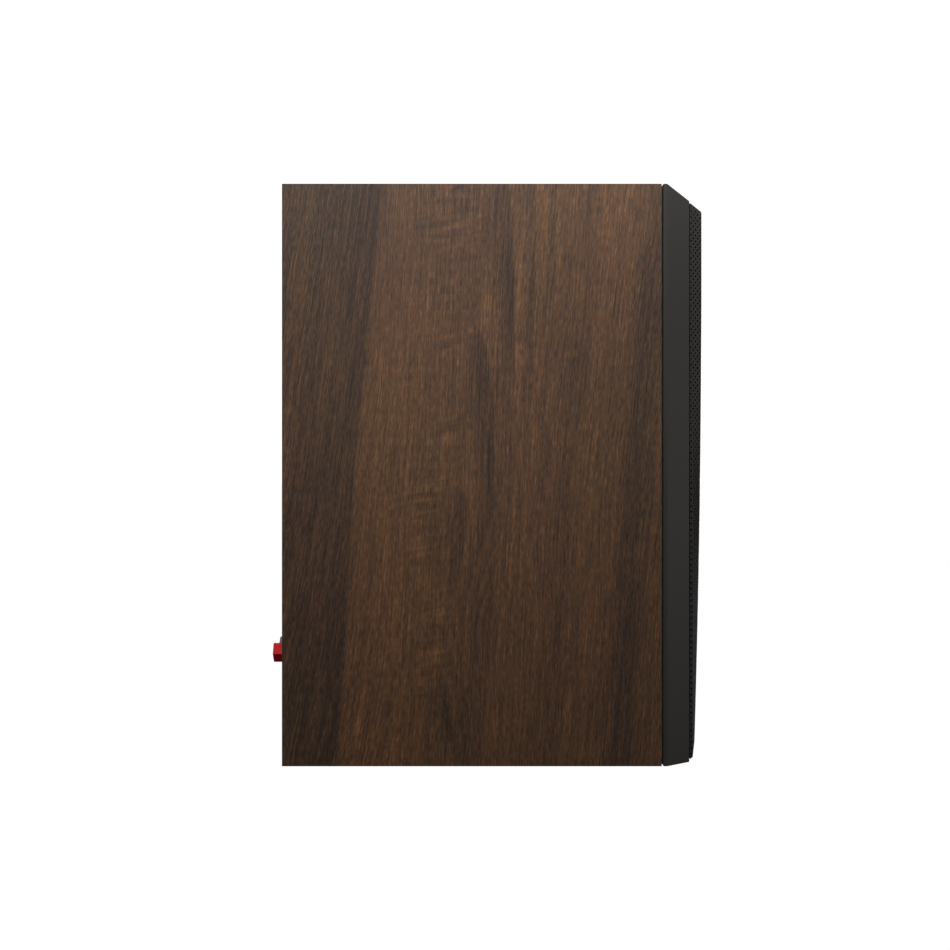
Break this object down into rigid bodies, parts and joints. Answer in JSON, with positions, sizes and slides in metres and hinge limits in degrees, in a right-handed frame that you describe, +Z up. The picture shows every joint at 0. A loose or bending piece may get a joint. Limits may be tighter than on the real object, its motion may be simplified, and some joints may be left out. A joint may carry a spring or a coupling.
{
  "type": "bookshelf speaker",
  "caption": "Walnut box loudspeaker with a bevelled charcoal baffle, a magnetic perforated grille, a cone woofer, a horn-loaded tweeter, a rear port and screw-down terminals.",
  "frame": {"origin": "centre of the whole object's footprint, on the surface that it stands on", "axes": "+Z up, the baffle and grille face -Y, the terminals face +Y, +X to the right seen from the front"},
  "size_m": [0.225, 0.3116, 0.4],
  "materials": {
    "walnut_veneer": "open-grain satin veneer",
    "cabinet_core": "raw fibreboard",
    "baffle_finish": "satin charcoal lacquer",
    "grille_metal": "satin black powder coat",
    "black_plastic": "fine moulded texture",
    "red_plastic": "gloss moulded",
    "knob_black": "gloss moulded",
    "plated_brass": "bright plated",
    "black_steel": "black oxide",
    "plated_steel": "zinc plated",
    "cast_frame": "as cast, painted",
    "ferrite": "ground ferrite",
    "bright_magnet": "nickel plated",
    "foam_gasket": "closed-cell foam",
    "surround_rubber": "matt moulded",
    "cone_paper": "pressed pulp, coated",
    "spider_cloth": "resin-treated weave",
    "former_film": "amber film",
    "copper_wire": "enamelled copper",
    "dome_metal": "satin drawn foil",
    "wadding": "loose fibre",
    "circuit_board": "solder mask",
    "capacitor_film": "wrapped film",
    "resistor_cement": "cement body",
    "wire_red": "extruded insulation",
    "wire_black": "extruded insulation"
  },
  "bodies": {
    "cabinet": {"side_panel_left": "walnut_veneer", "side_panel_right": "walnut_veneer", "top_panel": "walnut_veneer", "bottom_panel": "walnut_veneer", "rear_panel": "walnut_veneer", "window_brace": "cabinet_core", "baffle": "baffle_finish", "baffle_magnets": "bright_magnet", "damping_pads": "wadding", "port_tube": "black_plastic", "port_inner_flare": "black_plastic", "terminal_plate": "black_plastic", "terminal_gasket": "foam_gasket", "terminal_screws": "black_steel", "post_collars": "black_plastic", "post_nuts": "plated_brass", "solder_tags": "plated_brass", "red_post_stud": "plated_brass", "black_post_stud": "plated_brass", "woofer_basket": "cast_frame", "woofer_gasket": "foam_gasket", "woofer_screws": "black_steel", "woofer_surround": "surround_rubber", "woofer_spider": "spider_cloth", "woofer_top_plate": "plated_steel", "woofer_magnet": "ferrite", "woofer_yoke": "plated_steel", "woofer_terminals": "black_plastic", "waveguide": "black_plastic", "tweeter_gasket": "foam_gasket", "tweeter_screws": "black_steel", "tweeter_surround": "surround_rubber", "tweeter_top_plate": "plated_steel", "tweeter_magnet": "ferrite", "tweeter_yoke": "plated_steel", "crossover_board": "circuit_board", "crossover_standoffs": "black_plastic", "woofer_inductor": "copper_wire", "tweeter_inductor": "copper_wire", "capacitors": "capacitor_film", "resistors": "resistor_cement", "wiring_red": "wire_red", "wiring_black": "wire_black"},
    "grille": {"grille_skin": "grille_metal", "grille_frame": "black_plastic", "grille_magnets": "bright_magnet", "grille_pads": "foam_gasket"},
    "woofer_cone_assembly": {"woofer_cone": "cone_paper", "woofer_dust_cap": "cone_paper", "woofer_coil_former": "former_film", "woofer_voice_coil": "copper_wire"},
    "tweeter_diaphragm": {"tweeter_dome": "dome_metal", "tweeter_voice_coil": "copper_wire"},
    "red_clamp": {"red_post_washer": "plated_brass"},
    "red_cap": {"red_knob": "red_plastic", "red_knob_insert": "plated_brass"},
    "black_clamp": {"black_post_washer": "plated_brass"},
    "black_cap": {"black_knob": "knob_black", "black_knob_insert": "plated_brass"}
  },
  "joints": [
    {"name": "grille_pull", "type": "slide", "parent": "cabinet", "child": "grille", "axis": [0, -1, 0], "range_m": [0, 0.06]},
    {"name": "woofer_stroke", "type": "slide", "parent": "cabinet", "child": "woofer_cone_assembly", "axis": [0, -1, 0], "range_m": [-0.005, 0.005], "stiffness_N_per_m": 1100, "deforming": ["woofer_surround", "woofer_spider"]},
    {"name": "tweeter_stroke", "type": "slide", "parent": "cabinet", "child": "tweeter_diaphragm", "axis": [0, -1, 0], "range_m": [-0.0003, 0.0003], "stiffness_N_per_m": 900, "deforming": ["tweeter_surround"]},
    {"name": "red_cap_lift", "type": "slide", "parent": "cabinet", "child": "red_clamp", "axis": [0, 1, 0], "range_m": [0, 0.003]},
    {"name": "red_cap_turn", "type": "hinge", "parent": "red_clamp", "child": "red_cap", "pos_m": [-0.016, 0.1358, 0.0658], "axis": [0, 1, 0], "range_deg": [0, 1080]},
    {"name": "black_cap_lift", "type": "slide", "parent": "cabinet", "child": "black_clamp", "axis": [0, 1, 0], "range_m": [0, 0.003]},
    {"name": "black_cap_turn", "type": "hinge", "parent": "black_clamp", "child": "black_cap", "pos_m": [0.016, 0.1358, 0.0658], "axis": [0, 1, 0], "range_deg": [0, 1080]}
  ],
  "couplings": [
    {"joint": "red_cap_lift", "follows": "red_cap_turn", "m_per_rad": 0.00015915},
    {"joint": "black_cap_lift", "follows": "black_cap_turn", "m_per_rad": 0.00015915}
  ]
}
